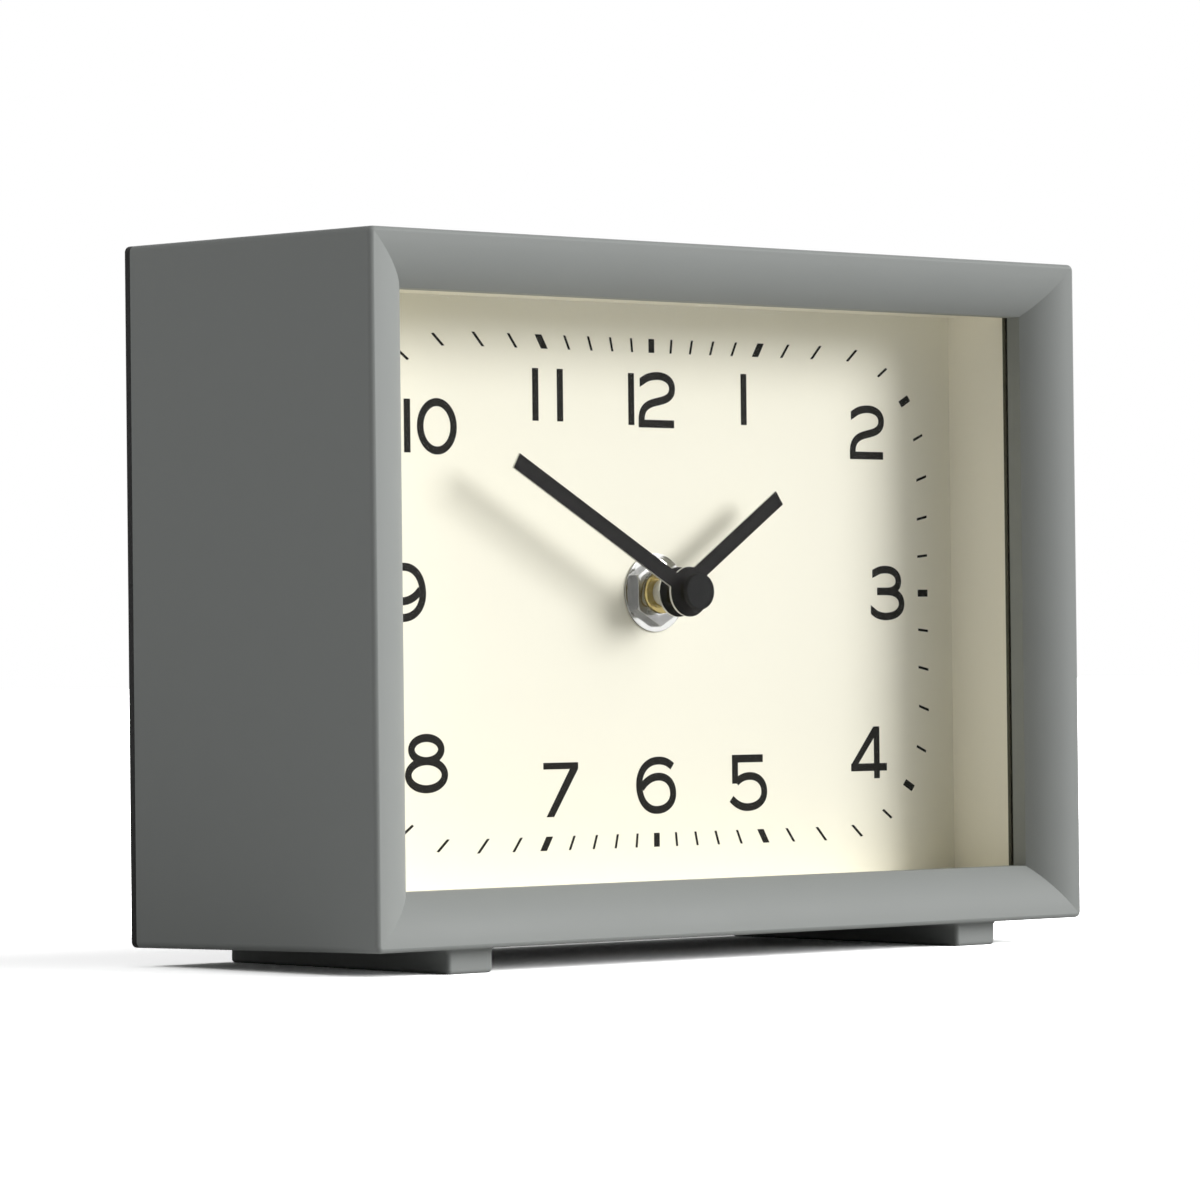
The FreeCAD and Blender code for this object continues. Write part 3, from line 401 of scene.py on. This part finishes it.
def threaded_bush():
    """The brass bush with a real thread: a sleeve whose radius rises and falls along a helix, over a plain flange."""
    low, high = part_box("threaded_bush")
    flange = (high.x - low.x) / 2 / MM
    length = (high.y - low.y) / MM
    shape = bmesh.new()
    rows = round(length / thread_pitch * thread_rows)
    rings = []
    for row in range(rows + 1):
        depth = length * row / rows
        ring = []
        for side in range(thread_sides):
            turn = side / thread_sides
            phase = (depth / thread_pitch - turn) % 1.0
            radius = bush_radius - thread_depth * abs(2 * phase - 1)
            if depth > length - bush_flange_depth:
                radius = flange
            angle = 2 * math.pi * turn
            ring.append(shape.verts.new((axis.x + radius * MM * math.cos(angle), low.y + depth * MM,
                                         axis.z + radius * MM * math.sin(angle))))
        rings.append(ring)
    for end in (length, 0.0):
        rings.append([shape.verts.new((axis.x + bush_bore * MM * math.cos(2 * math.pi * side / thread_sides),
                                       low.y + end * MM,
                                       axis.z + bush_bore * MM * math.sin(2 * math.pi * side / thread_sides)))
                      for side in range(thread_sides)])
    for here, there in zip(rings, rings[1:] + rings[:1]):
        for side in range(thread_sides):
            after = (side + 1) % thread_sides
            shape.faces.new((here[side], here[after], there[after], there[side]))
    bmesh.ops.recalc_face_normals(shape, faces=shape.faces)
    mesh = bpy.data.meshes.new("threaded_bush")
    shape.to_mesh(mesh)
    shape.free()
    mesh.shade_smooth()
    mesh.set_sharp_from_angle(angle=thread_sharp_angle)
    mesh.materials.append(finishes["hub_brass"])
    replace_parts(placed("bush_with_thread", mesh, "case"), "threaded_bush")


threaded_bush()


def minute_track_tree():
    """Sixty printed ticks: each corner is thrown outwards along its tick until it meets an edge of the track."""
    tree = bpy.data.node_groups.new("minute_track", "GeometryNodeTree")
    for size in ("Half width", "Half height", "Corner radius", "Tick length", "Minute tick", "Hour tick",
                 "Ink thickness"):
        tree.interface.new_socket(name=size, in_out="INPUT", socket_type="NodeSocketFloat")
    tree.interface.new_socket(name="Ink", in_out="INPUT", socket_type="NodeSocketMaterial")
    tree.interface.new_socket(name="Print", in_out="OUTPUT", socket_type="NodeSocketGeometry")
    given = add(tree, "NodeGroupInput").outputs
    wall = fence_height * MM

    # One square for each tick, which remembers its number and its own corners
    square = add(tree, "GeometryNodeMeshGrid", {"Size X": 1.0, "Size Y": 1.0, "Vertices X": 2, "Vertices Y": 2})
    cornered = add(tree, "GeometryNodeStoreNamedAttribute",
                   {"Geometry": square.outputs["Mesh"], "Name": "corner",
                    "Value": add(tree, "GeometryNodeInputPosition").outputs[0]},
                   data_type="FLOAT_VECTOR", domain="POINT")
    marks = add(tree, "GeometryNodeMeshLine", {"Count": ticks_per_turn})
    squares = add(tree, "GeometryNodeInstanceOnPoints",
                  {"Points": marks.outputs["Mesh"], "Instance": cornered.outputs["Geometry"]})
    numbered = add(tree, "GeometryNodeStoreNamedAttribute",
                   {"Geometry": squares.outputs["Instances"], "Name": "tick",
                    "Value": add(tree, "GeometryNodeInputIndex").outputs[0]},
                   data_type="INT", domain="INSTANCE")
    loose = add(tree, "GeometryNodeRealizeInstances", {"Geometry": numbered.outputs["Geometry"]})

    # Each tick's direction, width and the line that each of its corners runs along
    tick = add(tree, "GeometryNodeInputNamedAttribute", {"Name": "tick"}, data_type="INT").outputs["Attribute"]
    corner = add(tree, "GeometryNodeInputNamedAttribute", {"Name": "corner"}, data_type="FLOAT_VECTOR")
    corner = add(tree, "ShaderNodeSeparateXYZ", {"Vector": corner.outputs["Attribute"]}).outputs
    angle = add(tree, "ShaderNodeMath", {0: tick, 1: 2 * math.pi / ticks_per_turn}, operation="MULTIPLY").outputs[0]
    sine = add(tree, "ShaderNodeMath", {0: angle}, operation="SINE").outputs[0]
    cosine = add(tree, "ShaderNodeMath", {0: angle}, operation="COSINE").outputs[0]
    minus_sine = add(tree, "ShaderNodeMath", {0: sine, 1: -1.0}, operation="MULTIPLY").outputs[0]
    outwards = add(tree, "ShaderNodeCombineXYZ", {"X": sine, "Y": cosine}).outputs[0]
    sideways = add(tree, "ShaderNodeCombineXYZ", {"X": cosine, "Y": minus_sine}).outputs[0]
    step = add(tree, "ShaderNodeMath", {0: tick, 1: float(ticks_per_hour)}, operation="MODULO").outputs[0]
    on_hour = add(tree, "ShaderNodeMath", {0: step, 1: 0.5}, operation="LESS_THAN").outputs[0]
    width = add(tree, "GeometryNodeSwitch",
                {"Switch": on_hour, "False": given["Minute tick"], "True": given["Hour tick"]},
                input_type="FLOAT").outputs[0]
    across = add(tree, "ShaderNodeMath", {0: corner["X"], 1: width}, operation="MULTIPLY").outputs[0]
    start = add(tree, "ShaderNodeVectorMath", {0: sideways, "Scale": across}, operation="SCALE").outputs[0]
    thrown_from = add(tree, "ShaderNodeVectorMath", {0: start, 1: (0, 0, wall / 2)}, operation="ADD").outputs[0]

    # The track's inner and outer edges, stood up as low walls for the corners to run into
    up = add(tree, "FunctionNodeInputVector", vector=(0, 0, wall))
    reach = []
    for side in (-0.5, 0.5):
        shift = add(tree, "ShaderNodeMath", {0: given["Tick length"], 1: side}, operation="MULTIPLY").outputs[0]
        half = [add(tree, "ShaderNodeMath", {0: given[size], 1: shift}, operation="ADD").outputs[0]
                for size in ("Half width", "Half height", "Corner radius")]
        whole = [add(tree, "ShaderNodeMath", {0: value, 1: 2.0}, operation="MULTIPLY").outputs[0]
                 for value in half[:2]]
        oblong = add(tree, "GeometryNodeCurvePrimitiveQuadrilateral", {"Width": whole[0], "Height": whole[1]})
        rounded = add(tree, "GeometryNodeFilletCurve",
                      {"Curve": oblong.outputs[0], "Radius": half[2], "Count": corner_steps}, mode="POLY")
        line = add(tree, "GeometryNodeCurveToMesh", {"Curve": rounded.outputs[0]})
        fence = add(tree, "GeometryNodeExtrudeMesh", {"Mesh": line.outputs[0], "Offset": up.outputs[0]}, mode="EDGES")
        cast = add(tree, "GeometryNodeRaycast",
                   {"Target Geometry": fence.outputs["Mesh"], "Source Position": thrown_from,
                    "Ray Direction": outwards, "Ray Length": fence_reach * MM})
        reach.append(cast.outputs["Hit Distance"])
    outer = add(tree, "ShaderNodeMath", {0: corner["Y"], 1: 0.0}, operation="GREATER_THAN").outputs[0]
    distance = add(tree, "GeometryNodeSwitch", {"Switch": outer, "False": reach[0], "True": reach[1]},
                   input_type="FLOAT").outputs[0]
    along = add(tree, "ShaderNodeVectorMath", {0: outwards, "Scale": distance}, operation="SCALE").outputs[0]
    spot = add(tree, "ShaderNodeVectorMath", {0: start, 1: along}, operation="ADD").outputs[0]
    flat = add(tree, "GeometryNodeSetPosition", {"Geometry": loose.outputs[0], "Position": spot}).outputs[0]

    # The ink's thickness, then from the flat sheet to the dial
    raised = add(tree, "GeometryNodeExtrudeMesh",
                 {"Mesh": flat, "Offset Scale": given["Ink thickness"], "Individual": False})
    under = add(tree, "GeometryNodeFlipFaces", {"Mesh": flat})
    solid = add(tree, "GeometryNodeJoinGeometry")
    for part in (under.outputs[0], raised.outputs["Mesh"]):
        tree.links.new(part, solid.inputs[0])
    closed = add(tree, "GeometryNodeMergeByDistance", {"Geometry": solid.outputs[0], "Distance": weld_distance * MM})
    stood = add(tree, "GeometryNodeTransform",
                {"Geometry": closed.outputs[0], "Translation": (axis.x, dial_face, axis.z),
                 "Rotation": (math.pi / 2, 0, 0)})
    inked = add(tree, "GeometryNodeSetMaterial", {"Geometry": stood.outputs[0], "Material": given["Ink"]})
    add(tree, "NodeGroupOutput", {0: inked.outputs[0]})
    return tree


def minute_track():
    """The printed ring of ticks, as a plain mesh on the dial."""
    tree = minute_track_tree()
    sizes = {"Half width": track_half_width, "Half height": track_half_height, "Corner radius": track_corner,
             "Tick length": tick_length, "Minute tick": minute_tick_width, "Hour tick": hour_tick_width,
             "Ink thickness": ink_thickness}
    maker = bpy.data.objects.new("minute_track_maker", bpy.data.meshes.new("minute_track_maker"))
    scene.collection.objects.link(maker)
    ticks = maker.modifiers.new("ticks", "NODES")
    ticks.node_group = tree
    for item in tree.interface.items_tree:
        if item.name in sizes:
            ticks[item.identifier] = sizes[item.name] * MM
        elif item.name == "Ink":
            ticks[item.identifier] = dial_ink
    mesh = bpy.data.meshes.new_from_object(maker.evaluated_get(bpy.context.evaluated_depsgraph_get()))
    bpy.data.objects.remove(maker)
    placed("minute_track", mesh, "case")


minute_track()


def ribbon(path, upright_ends=(False, False), closed=False):
    """A stroke of even width along a path, as quads; an upright end is cut off vertically."""
    half = stroke_width / 2
    ends = [end for end, upright in zip((path[0], path[-1]), upright_ends) if upright]
    path = [p for p in path if all(p is end or (p - end).length > stroke_width for end in ends)]
    sides = []
    for number, point in enumerate(path):
        before = path[number - 1] if number or closed else point
        after = path[(number + 1) % len(path)] if number + 1 < len(path) or closed else point
        ahead = (after - before).normalized()
        left = Vector((-ahead.y, ahead.x)) * half
        slant = Vector((0, 0))
        if (number == 0 and upright_ends[0]) or (number == len(path) - 1 and upright_ends[1]):
            slant = ahead * (left.x / ahead.x)
        sides.append((point + left - slant, point - left + slant))
    pairs = list(zip(sides, sides[1:] + sides[:1]))
    return [[a[0], a[1], b[1], b[0]] for a, b in (pairs if closed else pairs[:-1])]


def curved(points, upright_ends=(False, False)):
    """A stroke along joined Bezier curves: a point, then two handles and a point for each curve."""
    points = [Vector(p) for p in points]
    path = points[:1]
    for first in range(0, len(points) - 1, 3):
        path += interpolate_bezier(*points[first:first + 4], curve_steps)[1:]
    return ribbon([Vector(p[:2]) for p in path], upright_ends)


def straight(start, end):
    return ribbon([Vector(start), Vector(end)])


def oval(middle, half_width, half_height):
    turns = [2 * math.pi * step / ring_steps for step in range(ring_steps)]
    return ribbon([Vector((middle[0] + half_width * math.cos(t), middle[1] + half_height * math.sin(t)))
                   for t in turns], closed=True)


def plate(*corners):
    """A flat shape with straight sides, its corners in anticlockwise order."""
    return [[Vector(corner) for corner in corners]]


six = (curved([(4.06, 3.56), (2.93, 4.45), (1.92, 4.73), (0.51, 4.73), (-2.33, 4.73), (-4.27, 2.83), (-4.27, 0.20),
               (-4.27, -2.63), (-2.53, -4.69), (0.10, -4.69), (2.53, -4.69), (4.23, -3.44), (4.23, -1.62),
               (4.23, 0.40), (2.73, 1.66), (0.51, 1.66), (-1.11, 1.66), (-2.73, 0.81), (-3.74, -0.49)]))

# Strokes of each figure, in millimetres about its middle
figures = {
    "0": oval((0, 0), 3.93, 4.48),
    "1": plate(*((x * one_width / 2, z * one_height / 2) for x, z in ((-1, -1), (1, -1), (1, 1), (-1, 1)))),
    "2": (curved([(-4.27, 3.21), (-2.92, 4.14), (-1.44, 4.57), (0.25, 4.57), (2.37, 4.57), (3.85, 3.64), (3.85, 2.24),
                  (3.85, 0.34), (1.95, 0.0), (-0.17, -0.42), (-2.49, -0.85), (-3.89, -1.69), (-3.89, -3.89)],
                 (True, False))
          + straight((-3.89, -3.89), (-3.89, -5.36)) + straight((-4.64, -4.61), (4.27, -4.61))),
    "3": (curved([(-4.02, 3.78), (-2.77, 4.39), (-1.76, 4.67), (-0.55, 4.67), (1.68, 4.67), (3.01, 3.70), (3.01, 2.37),
                  (3.01, 1.15), (1.88, 0.34), (-0.14, 0.34)], (True, False))
          + straight((-2.77, 0.34), (-0.14, 0.34))
          + curved([(-0.14, 0.34), (2.49, 0.34), (3.82, -0.67), (3.82, -2.08), (3.82, -3.70), (2.08, -4.63),
                    (-0.55, -4.63), (-2.16, -4.63), (-3.46, -4.10), (-4.51, -3.26)], (False, True))),
    "4": (straight((2.10, 5.12), (2.10, -5.12)) + straight((-4.79, -2.89), (4.79, -2.89))
          + plate((2.10, 5.12), (1.25, 5.12), (-4.79, -2.40), (-3.05, -2.40), (2.10, 3.80))),
    "5": (straight((3.78, 4.71), (-4.17, 4.71)) + straight((-3.42, 5.46), (-3.42, -0.10))
          + curved([(-3.09, 0.10), (-2.08, 0.99), (-0.87, 1.31), (0.34, 1.31), (2.77, 1.31), (4.10, -0.10),
                    (4.10, -1.72), (4.10, -3.54), (2.37, -4.71), (-0.26, -4.71), (-1.88, -4.71), (-3.30, -4.02),
                    (-4.39, -3.01)])),
    "6": six,
    "7": (plate((4.23, 5.10), (-4.23, 5.10), (-4.23, 3.86), (4.23, 3.86))
          + plate((4.23, 3.86), (2.22, 3.86), (-3.57, -5.10), (-1.76, -5.10))),
    "8": oval((0, 2.61), 3.5, 2.14) + oval((0, -2.12), 4.28, 2.59),
    "9": [[-point for point in part] for part in six],
}

# Each hour's figures and their middles on the dial, in millimetres from the arbor
hours = {
    1: [("1", 23.4, 37.5)],
    2: [("2", 55.9, 31.8)],
    3: [("3", 60.9, 0.0)],
    4: [("4", 55.4, -31.5)],
    5: [("5", 23.5, -36.8)],
    6: [("6", 0.0, -36.8)],
    7: [("7", -23.6, -37.1)],
    8: [("8", -55.7, -31.6)],
    9: [("9", -60.4, 0.0)],
    10: [("1", -59.4, 30.7), ("0", -52.4, 30.7)],
    11: [("1", -28.8, 37.2), ("1", -22.8, 37.2)],
    12: [("1", -5.2, 36.9), ("2", 1.25, 36.9)],
}


def printed(hour, strokes):
    """Overlapping strokes joined into one flat outline and raised by the thickness of the ink."""
    points = [point for part in strokes for point in part]
    faces = []
    for part in strokes:
        first = faces[-1][-1] + 1 if faces else 0
        faces.append(list(range(first, first + len(part))))
    corners, _, triangles, _, _, sources = delaunay_2d_cdt(points, [], faces, 0, stroke_weld)
    shape = bmesh.new()
    base = [shape.verts.new((axis.x + p.x * MM, dial_face, axis.z + p.y * MM)) for p in corners]
    for triangle, source in zip(triangles, sources):
        if source:
            shape.faces.new([base[corner] for corner in triangle])
    bmesh.ops.delete(shape, geom=[v for v in shape.verts if not v.link_faces], context="VERTS")
    bmesh.ops.dissolve_limit(shape, angle_limit=ink_flat_angle, verts=shape.verts, edges=shape.edges)
    front = bmesh.ops.extrude_face_region(shape, geom=shape.faces[:], use_keep_orig=True)["geom"]
    bmesh.ops.translate(shape, verts=[v for v in front if isinstance(v, bmesh.types.BMVert)],
                        vec=(0, -ink_thickness * MM, 0))
    bmesh.ops.recalc_face_normals(shape, faces=shape.faces)
    mesh = bpy.data.meshes.new(f"numeral_{hour}")
    shape.to_mesh(mesh)
    shape.free()
    mesh.materials.append(dial_ink)
    placed(f"numeral_{hour}", mesh, "case")


for hour, places in hours.items():
    printed(hour, [[point + Vector((x, z)) for point in part] for figure, x, z in places for part in figures[figure]])


def studio():
    """White floor that keeps the shadow, pale even sky, a soft lamp at the front right and a weak one opposite."""
    def either(tree, *rays):
        """One for a ray of any of these kinds, and nought for others."""
        path = add(tree, "ShaderNodeLightPath").outputs
        found = path[rays[0]]
        for ray in rays[1:]:
            found = add(tree, "ShaderNodeMath", {0: found, 1: path[ray]}, operation="MAXIMUM").outputs[0]
        return found

    world = bpy.data.worlds.new("studio")
    scene.world = world
    world.use_nodes = True
    tree = world.node_tree
    tree.nodes.clear()
    looking = either(tree, "Is Camera Ray", "Is Glossy Ray", "Is Transmission Ray")
    strength = add(tree, "ShaderNodeMapRange", {"Value": looking, "To Min": sky_strength, "To Max": 1.0})
    sky = add(tree, "ShaderNodeBackground", {"Color": (1, 1, 1, 1), "Strength": strength.outputs["Result"]})
    add(tree, "ShaderNodeOutputWorld", {"Surface": sky.outputs["Background"]})

    paper = bpy.data.materials.new("white_paper_sweep")
    paper.use_nodes = True
    tree = paper.node_tree
    tree.nodes.clear()
    plain = add(tree, "ShaderNodeBsdfDiffuse", {"Color": (floor_albedo,) * 3 + (1,)})
    shown = add(tree, "ShaderNodeBsdfDiffuse", {"Color": (floor_shown,) * 3 + (1,)})
    mirrored = add(tree, "ShaderNodeBsdfDiffuse", {"Color": (floor_mirrored,) * 3 + (1,)})
    lit = add(tree, "ShaderNodeMixShader",
              {0: either(tree, "Is Camera Ray"), 1: plain.outputs[0], 2: shown.outputs[0]})
    both = add(tree, "ShaderNodeMixShader",
               {0: either(tree, "Is Glossy Ray", "Is Transmission Ray"), 1: lit.outputs[0], 2: mirrored.outputs[0]})
    add(tree, "ShaderNodeOutputMaterial", {"Surface": both.outputs[0]})
    shape = bmesh.new()
    bmesh.ops.create_grid(shape, x_segments=2, y_segments=2, size=floor_reach)
    mesh = bpy.data.meshes.new("floor")
    shape.to_mesh(mesh)
    shape.free()
    mesh.materials.append(paper)
    floor = bpy.data.objects.new("floor", mesh)
    scene.collection.objects.link(floor)

    for name, (direction, spread, power) in lamps.items():
        light = bpy.data.lights.new(name, "SUN")
        light.angle = spread
        light.energy = power
        lamp = bpy.data.objects.new(name, light)
        scene.collection.objects.link(lamp)
        lamp.rotation_mode = "QUATERNION"
        lamp.rotation_quaternion = Vector(direction).to_track_quat("Z", "Y")


def photograph_camera():
    """The photograph's viewpoint: a long lens, low and to the clock's left."""
    lens = bpy.data.cameras.new("camera")
    lens.lens = camera_lens
    lens.sensor_width = camera_sensor
    camera = bpy.data.objects.new("camera", lens)
    scene.collection.objects.link(camera)
    turn = (Matrix.Rotation(camera_turn, 4, "Z") @ Matrix.Rotation(camera_tilt, 4, "X")
            @ Matrix.Rotation(camera_roll, 4, "Y") @ Matrix.Rotation(math.pi / 2, 4, "X"))
    camera.matrix_world = Matrix.Translation(camera_place) @ turn
    lens.clip_end = 2 * floor_reach
    scene.camera = camera


studio()
photograph_camera()
